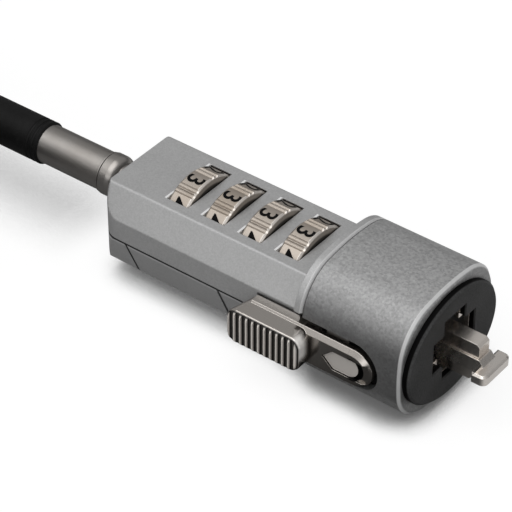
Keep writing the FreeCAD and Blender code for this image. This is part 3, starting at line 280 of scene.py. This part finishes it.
class Finish(Nodes):
    """A surface finish: its material, and the shader that everything ends in."""

    def __init__(self, name, edge=0.0, **fixed):
        """The edge is how far an edge is rounded for the light; the rest are fixed values."""
        self.material = bpy.data.materials.new(name)
        self.material.use_nodes = True
        super().__init__(self.material.node_tree)
        self.shader = next(node for node in self.tree.nodes if node.type == "BSDF_PRINCIPLED")
        self.edge = edge
        for socket, value in fixed.items():
            title = socket.replace("_", " ").title().replace("Ior", "IOR")
            self.shader.inputs[title].default_value = value

    def place(self):
        """Where a point is on the object, in metres."""
        return self.node("ShaderNodeTexCoord", {}, output="Object")

    def axes(self):
        """Where a point is along X, Y and Z, each in millimetres."""
        return self.split(self.stretched(self.place(), (1 / MM, 1 / MM, 1 / MM)))

    def stretched(self, vector, stretch):
        return self.node("ShaderNodeVectorMath", {"operation": "MULTIPLY"}, vector, stretch)

    def noise(self, scale, detail=3.0, stretch=None):
        """Soft noise from 0 to 1, of that many lumps to the metre."""
        vector = self.stretched(self.place(), stretch) if stretch else self.place()
        return self.node("ShaderNodeTexNoise", {}, Vector=vector, Scale=scale, Detail=detail,
                         Roughness=0.5)

    def crevice(self, reach, low, high, own=True):
        """1 in grooves and corners, 0 in the open; reach is how far off a wall still counts."""
        settings = {"samples": 6, "only_local": own}
        openness = self.node("ShaderNodeAmbientOcclusion", settings, Distance=reach * MM,
                             output="AO")
        return openness.fall(low, high)

    def paint(self, socket, wire):
        self.feed(self.shader.inputs[socket], wire)

    def cover(self, factor, colour):
        """Another colour over the one so far, where the factor is 1."""
        under = Wire(self, self.shader.inputs["Base Color"].links[0].from_socket)
        self.paint("Base Color", self.mix(factor, under, colour))

    def relief(self, height, depth, strength):
        """Bumps from a height of 0 to 1, that deep."""
        rounded = None
        if self.edge:
            rounded = self.node("ShaderNodeBevel", {"samples": 4}, Radius=self.edge * MM)
        self.paint("Normal", self.node("ShaderNodeBump", {}, Strength=strength,
                                       Distance=depth * MM, Height=height, Normal=rounded))


def grey(level, warm=0.0):
    """A grey, or a warm one with more red and less blue."""
    return (level * (1 + warm), level, level * (1 - warm), 1.0)


EDGE = 0.12


def silver_paint(name, level, flake, contrast, metal, rough):
    """Silver lacquer on a zinc casting: flake, faint orange peel and painted shade darkening its
    crevices and joints.
    """
    finish = Finish(name, edge=EDGE, metallic=metal)
    flakes = finish.node("ShaderNodeTexVoronoi", {"feature": "F1"}, Vector=finish.place(),
                         Scale=flake, output="Color")
    spark = finish.node("ShaderNodeSeparateColor", {}, flakes)
    clump = finish.noise(flake * 0.6, 2.0)
    cloud = finish.noise(200.0)
    glitter = (spark - 0.5) * contrast + (clump - 0.5) * contrast * 1.6
    bright = glitter + (cloud - 0.5) * 0.2 + 0.5
    shade = finish.mix(bright.clamped(), grey(level * 0.72), grey(level * 1.28))
    # painted shade: near-black where this or other parts close in, in crevices and along joints
    crevice_shade = finish.crevice(0.6, 0.15, 0.62, own=False)
    finish.paint("Base Color", finish.mix(crevice_shade * 0.9, shade, grey(0.012)))
    finish.paint("Roughness", rough + 0.10 * cloud + 0.08 * spark)
    peel = finish.noise(900.0, 2.0)
    finish.relief(peel * 0.6 + clump * 0.4, depth=0.04, strength=0.5)
    return finish


def nickel(name, level, warm, rough, brush=None, shade_in_grooves=0.9):
    """Nickel over a casting: a warm grey mirror with soft waves, dull patches, and painted shade
    darkening its grooves and corners.
    """
    finish = Finish(name, edge=EDGE, metallic=1.0)
    patch = finish.noise(150.0, 4.0).rise(0.45, 0.75)
    shade = finish.mix(patch, grey(level, warm), grey(level * 0.86, warm * 1.3))
    # painted shade: dark in grooves and corners, by how closed in each point is
    groove_shade = finish.crevice(1.2, 0.30, 0.85)
    dark = grey(level * 0.05, warm * 2)
    finish.paint("Base Color", finish.mix(groove_shade * shade_in_grooves, shade, dark))
    fine = finish.noise(2600.0, 2.0, brush)
    finish.paint("Roughness", rough + 0.06 * patch + 0.08 * fine + 0.2 * groove_shade)
    finish.relief(finish.noise(420.0, 1.0) * 0.6 + fine * 0.4, depth=0.02, strength=0.5)
    return finish


def black_moulding(name, level, rough, grain, depth, gloss):
    """Black moulded plastic or ink, with a fine grain."""
    finish = Finish(name, specular_ior_level=gloss)
    fine = finish.noise(grain, 3.0)
    cloud = finish.noise(180.0, 2.0)
    speck = ((fine - 0.5) * 1.6 + cloud).clamped()
    finish.paint("Base Color", finish.mix(speck, grey(level * 0.65), grey(level * 1.35)))
    finish.paint("Roughness", rough + 0.15 * fine)
    finish.relief(fine, depth, strength=0.6)
    return finish


# The dials: their number and pitch, the middle of the one at the front, and the shift, in
# pitches, that leaves each dial's middle at 0.8 of its own pitch
DIALS = 4
DIAL_PITCH = 6.25
FRONT_DIAL = 23.75
DIAL_PHASE = 3.6


def along_dial(along):
    """How far along its own pitch a point is."""
    return (along + DIAL_PHASE * DIAL_PITCH).maths("FLOORED_MODULO", DIAL_PITCH)


def paint_body():
    """Satin silver, with painted highlights on the collar's front edge, the windows' rear edges and
    the step under the parting line, and painted shade along the parting line and the cover's ends.
    """
    collar_front = -17.4
    windows = (-45.5, -20.0)
    top_z = 5.2
    parting = -1.35
    parting_step = -1.78
    cover_ends = (-48.6, -32.4)
    cover_lean = -0.18

    finish = silver_paint("satin_silver_paint", level=0.41, flake=6000.0, contrast=0.25,
                          metal=0.45, rough=0.36)
    along, beside, upward = finish.axes()
    # painted highlight along the collar's front edge
    finish.cover(along.rise(collar_front - 0.12, collar_front) * 0.7, grey(0.9))

    # painted highlight along the rear edge of each window, only near its two ends
    behind_dial = along_dial(along).near(DIAL_PITCH / 2 - 0.12, 0.16, 0.26)
    off_middle = beside * beside
    window_end = off_middle.rise(7.0, 11.0) * off_middle.fall(23.0, 24.5)
    by_windows = along.rise(windows[0], windows[0] + 0.1) * along.fall(windows[1], windows[1] + 0.1)
    on_top = upward.rise(top_z - 0.2, top_z) * by_windows
    finish.cover(behind_dial * window_end * on_top * 0.9, grey(0.95))

    # painted shade along the parting line and the two slanted ends of the side cover, and a painted
    # highlight on the step under the parting line
    upright = along - (upward + 1.25) * cover_lean
    ends = (upright.near(cover_ends[0]) + upright.near(cover_ends[1])).clamped()
    below = upward.fall(-1.4, -1.25)
    near_side = beside.fall(-6.0, -5.0)
    finish.cover(upward.near(parting_step) * below * 0.35, grey(0.85))
    seam_shade = (upward.near(parting) + ends * below * near_side).clamped()
    finish.cover(seam_shade * 0.95, grey(0.01))
    return finish


def paint_sleeve():
    """Flake silver, with painted shade low on its flank on the slider's side, painted shade along
    its rear edge and a painted highlight on its front chamfer.
    """
    rear_edge = -16.9
    chamfer_rear = -1.65
    chamfer_front = -1.1

    finish = silver_paint("flake_silver_paint", level=0.35, flake=3600.0, contrast=0.55,
                          metal=0.55, rough=0.46)
    along, beside, upward = finish.axes()
    # painted shade: darker low on the flank on the slider's side
    lower_flank_shade = upward.fall(3.0, 8.8) * upward.rise(-6.0, -3.0) * beside.fall(-6.5, -4.5)
    finish.cover(lower_flank_shade * 0.68, grey(0.06))
    # painted shade along the rear edge, at the gap to the collar
    finish.cover(along.fall(rear_edge, rear_edge + 0.16), grey(0.01))
    # painted highlight on the front chamfer
    chamfer = along.rise(chamfer_rear, chamfer_rear + 0.15)
    chamfer = chamfer * along.fall(chamfer_front - 0.2, chamfer_front)
    finish.cover(chamfer * 0.8, grey(0.9))
    return finish


def plate_slider():
    """Bright nickel: painted highlights on the ribs and painted shade in their grooves, a painted
    highlight on the grip's front corner, and the sunk mark with painted shade round it.
    """
    grip_side = -13.6
    rib_valley = -14.12
    plate_face = -11.5
    mark_floor = -11.15
    mark_middle = -1.1
    mark_tip = -13.1
    mark_round = -8.9
    ring_round = -8.3

    finish = nickel("bright_nickel", level=0.48, warm=0.07, rough=0.10)
    along, beside, upward = finish.axes()
    grip = beside.fall(grip_side - 0.25, grip_side)
    # painted highlight on the grip's front corner, with less metal there
    front_glint = along.rise(-16.6, -15.5) * beside.fall(-13.0, -11.5) * upward.rise(-2.4, -1.0)
    finish.cover(front_glint, grey(0.95, 0.03))
    # painted highlights on the ribs and painted shade in the grooves between them
    groove_shade = beside.rise(rib_valley, rib_valley + 0.22) * grip
    finish.cover(grip * (1.0 - groove_shade) * 0.9, grey(0.85, 0.07))
    finish.cover(groove_shade, grey(0.012, 0.1))

    # the mark: a matte floor that ends in a half round, painted shade on its side walls, and a
    # painted dark ring past the floor that widens forwards, in place of a shaded rim
    high = upward - mark_middle
    strip = (high * high).fall(3.0, 4.0) * along.rise(mark_tip - 0.4, mark_tip)
    front_half = along.rise(mark_round, mark_round + 0.1)
    from_round = (along - mark_round) * (along - mark_round) + high * high
    from_ring = (along - ring_round) * (along - ring_round) + high * high
    past_floor = front_half * from_round.rise(2.3, 2.6)
    past_ring = front_half * from_ring.rise(3.0, 3.4)
    shallow = beside.fall(mark_floor + 0.15, mark_floor + 0.25)
    below_face = beside.rise(plate_face + 0.03, plate_face + 0.08)
    on_face = beside.rise(plate_face - 0.2, plate_face - 0.1)
    sunk = below_face * shallow * strip * (1.0 - past_ring)
    floor = beside.rise(mark_floor - 0.06, mark_floor - 0.02) * sunk * (1.0 - past_floor)
    ring = past_floor * (1.0 - past_ring) * on_face * shallow
    mark = finish.mix(floor, grey(0.01), grey(0.58, 0.06))
    finish.cover((sunk + ring).clamped(), mark)
    finish.paint("Metallic", 1.0 - 0.7 * (grip + floor + front_glint).clamped())
    return finish


def plate_dials():
    """Dull warm nickel, with a painted highlight on its rim and painted shade on its sides down in
    the window.
    """
    finish = nickel("dial_nickel", level=0.42, warm=0.12, rough=0.42, brush=(1.0, 6.0, 6.0),
                    shade_in_grooves=0.7)
    along, beside, upward = finish.axes()
    # painted highlight on the rim
    finish.cover(along_dial(along).near(0.28, 0.08, 0.2) * 0.8, grey(0.95, 0.06))
    # painted shade on the sides, down in the window
    from_axis = beside * beside + (upward - AXIS_Z) * (upward - AXIS_Z)
    finish.cover(from_axis.fall(32.0, 37.0) * 0.8, grey(0.01))
    return finish


def mould_nose():
    """Dark grey, and black behind its rounded front rim."""
    finish = black_moulding("nose_black", level=0.058, rough=0.42, grain=3500.0, depth=0.02,
                            gloss=0.04)
    along, _, _ = finish.axes()
    finish.cover(along.fall(-0.36, -0.22), grey(0.002))
    return finish


body_paint = paint_body()
sleeve_paint = paint_sleeve()
bright_nickel = plate_slider()
dial_nickel = plate_dials()
nose_black = mould_nose()
hook_nickel = nickel("hook_nickel", level=0.75, warm=0.06, rough=0.20, shade_in_grooves=0.6)
fork_nickel = nickel("fork_nickel", level=0.85, warm=0.07, rough=0.20, shade_in_grooves=0.3)
turned_nickel = nickel("turned_nickel", level=0.36, warm=0.05, rough=0.26, brush=(8.0, 1.0, 1.0))
plain_steel = nickel("plain_steel", level=0.42, warm=0.0, rough=0.30, brush=(8.0, 1.0, 1.0))
brass = nickel("machined_brass", level=0.50, warm=0.35, rough=0.28, brush=(6.0, 1.0, 1.0))
crimp_metal = nickel("pressed_aluminium", level=0.62, warm=0.0, rough=0.36, brush=(6.0, 6.0, 1.0))
block_black = black_moulding("block_black", level=0.012, rough=0.5, grain=2500.0, depth=0.02,
                             gloss=0.1)
boot_black = black_moulding("boot_black", level=0.006, rough=0.38, grain=1400.0, depth=0.05,
                            gloss=0.12)
jacket_black = black_moulding("jacket_black", level=0.010, rough=0.28, grain=500.0, depth=0.04,
                              gloss=0.4)
ink = black_moulding("numeral_black", level=0.004, rough=0.5, grain=4000.0, depth=0.01,
                     gloss=0.05)

FINISHES = {
    "housing": body_paint, "lower_shell": body_paint, "side_cover": body_paint,
    "front_sleeve": sleeve_paint, "nose_bumper": nose_black, "guide_block": block_black,
    "guide_plate": fork_nickel, "hook": hook_nickel, "locking_fork": fork_nickel,
    "slider_button": bright_nickel, "neck_bush": turned_nickel, "cable_ferrule": turned_nickel,
    "cable_boot": boot_black, "eye_crimp": crimp_metal,
}
for number in range(1, DIALS + 1):
    FINISHES[f"dial_{number}"] = dial_nickel
    FINISHES[f"code_hub_{number}"] = brass
for name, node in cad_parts.items():
    if name in ("cable_inner", "cable_lead", "cable_coil", "cable_eye"):
        continue
    for held in node.material_slots:
        held.material = FINISHES.get(name, plain_steel).material
line.materials.append(jacket_black.material)

# Numerals: ten round each dial, as a black skin on its lands, with the 3 up
DIAL_RADIUS = 6.85
SKIN = 0.012
DIGITS = 10
LAND_STEP = 360 / DIGITS
DIAL_REST = 6.5
SHOWN = 3
GLYPH_HEIGHT = 2.75
BOLDER = 0.012
CUTS_A_SIDE = 9
CUT_STEP = 0.12


def glyph(text):
    """One numeral as a flat mesh, upright and centred, in millimetres."""
    words = bpy.data.curves.new(f"glyph_{text}", "FONT")
    words.body = text
    words.offset = BOLDER
    words.resolution_u = 6
    holder = bpy.data.objects.new(f"glyph_{text}", words)
    bpy.context.collection.objects.link(holder)
    seen = holder.evaluated_get(bpy.context.evaluated_depsgraph_get())
    flat = bpy.data.meshes.new_from_object(seen)
    bpy.data.objects.remove(holder)
    low = [min(vertex.co[axis] for vertex in flat.vertices) for axis in (0, 1)]
    high = [max(vertex.co[axis] for vertex in flat.vertices) for axis in (0, 1)]
    scale = GLYPH_HEIGHT / (high[1] - low[1])
    for vertex in flat.vertices:
        vertex.co.x = (vertex.co.x - (low[0] + high[0]) / 2) * scale
        vertex.co.y = (vertex.co.y - (low[1] + high[1]) / 2) * scale
        vertex.co.z = 0
    return flat


def numerals(number, glyphs):
    """The numerals of one dial: each is cut into strips and bent round the dial."""
    middle = -(FRONT_DIAL + (DIALS - number) * DIAL_PITCH)
    radius = DIAL_RADIUS + SKIN
    shape = bmesh.new()
    for digit, flat in enumerate(glyphs):
        part = bmesh.new()
        part.from_mesh(flat)
        for cut in range(-CUTS_A_SIDE, CUTS_A_SIDE + 1):
            bmesh.ops.bisect_plane(part, geom=part.verts[:] + part.edges[:] + part.faces[:],
                                   plane_co=(cut * CUT_STEP, 0, 0), plane_no=(1, 0, 0))
        turn = math.radians(LAND_STEP * (digit - SHOWN) + DIAL_REST)
        for vertex in part.verts:
            angle = turn + vertex.co.x / DIAL_RADIUS
            vertex.co = Vector((middle + vertex.co.y, -math.sin(angle) * radius,
                                AXIS_Z + math.cos(angle) * radius)) * MM
        kept = bpy.data.meshes.new("digit")
        part.to_mesh(kept)
        shape.from_mesh(kept)
        part.free()
    bmesh.ops.recalc_face_normals(shape, faces=shape.faces)
    skin = bpy.data.meshes.new(f"dial_{number}_numerals")
    shape.to_mesh(skin)
    shape.free()
    piece = bpy.data.objects.new(f"dial_{number}_numerals", skin)
    bpy.context.collection.objects.link(piece)
    skin.materials.append(ink.material)
    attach(piece, f"dial_wheel_{number}")


glyphs = [glyph(str(digit)) for digit in range(DIGITS)]
for number in range(1, DIALS + 1):
    numerals(number, glyphs)

# Studio: a pale table, a sky over it that darkens towards the horizon, and one soft lamp
TABLE_HALF = 3.0

table = bpy.data.meshes.new("table")
table.from_pydata([(along * TABLE_HALF, beside * TABLE_HALF, TABLE_Z * MM)
                   for along, beside in ((-1, -1), (1, -1), (1, 1), (-1, 1))], [], [(0, 1, 2, 3)])
table_top = bpy.data.objects.new("table_top", table)
bpy.context.collection.objects.link(table_top)


def lay_paper():
    """White to the camera and darker in metal, with painted shade in metal's view on the slider's
    side and a painted soft shadow next to the lock and cable.
    """
    finish = Finish("table_paper", roughness=0.9, emission_strength=1.0)
    along, beside, _ = finish.axes()
    # painted shade: metal sees the table dark on the slider's side, darkest towards the nose
    shaded = finish.mix(along.rise(-35.0, -12.0), grey(0.17), grey(0.03))
    in_metal = finish.mix((along + beside).rise(-12.0, 12.0), shaded, grey(0.62))
    bounced = finish.mix(finish.rays("Glossy"), grey(0.38), in_metal)
    shown = finish.rays("Camera", "Transmission")
    pale = finish.mix(finish.noise(30.0), grey(0.145), grey(0.16))
    finish.paint("Base Color", finish.mix(shown, bounced, pale))
    # painted soft shadow: the emitted white dims next to the lock and, further out, under the cable
    by_cable = along.fall(-68.0, -58.0)
    under_cable = finish.crevice(13.0, 0.50, 0.88, own=False) * by_cable
    touch = (finish.crevice(5.0, 0.46, 0.76, own=False) + under_cable).clamped()
    glow = finish.mix(touch, grey(0.86), grey(0.08))
    finish.paint("Emission Color", finish.mix(shown, grey(0.0), glow))
    return finish


def light_sky(world):
    """White to the camera; elsewhere a grey dome with a bright band low on the slider's side."""
    world.use_nodes = True
    sky = Nodes(world.node_tree)
    background = next(node for node in sky.tree.nodes if node.type == "BACKGROUND")
    _, across, height = sky.split(sky.node("ShaderNodeTexCoord", {}, output="Generated"))
    front = (0.30 - across).clamped()
    band = height.rise(0.08, 0.32) * (1.0 - 0.8 * height.rise(0.38, 0.65))
    level = 0.04 + height.rise(0.10, 0.45) * 0.33 + 1.1 * band * front
    shown_in_metal = 0.06
    metal = sky.rays("Glossy") * shown_in_metal
    white = (sky.rays("Camera", "Transmission") + metal).clamped()
    dome = sky.mix(1.0, grey(1.0), level, "MULTIPLY")
    sky.feed(background.inputs["Color"], sky.mix(white, dome, grey(1.0)))


table.materials.append(lay_paper().material)
world = bpy.data.worlds.new("surround")
bpy.context.scene.world = world
light_sky(world)

LAMP_AT = (-0.06, -0.18, 0.72)
LAMP_TARGET = (-0.03, 0, 0)
lamp = bpy.data.lights.new("top", "AREA")
lamp.shape = "RECTANGLE"
lamp.size, lamp.size_y = 0.90, 0.80
lamp.energy = 3.6
holder = bpy.data.objects.new("top", lamp)
holder.location = LAMP_AT
holder.rotation_mode = "QUATERNION"
holder.rotation_quaternion = pointed_at(LAMP_TARGET, LAMP_AT)
bpy.context.collection.objects.link(holder)
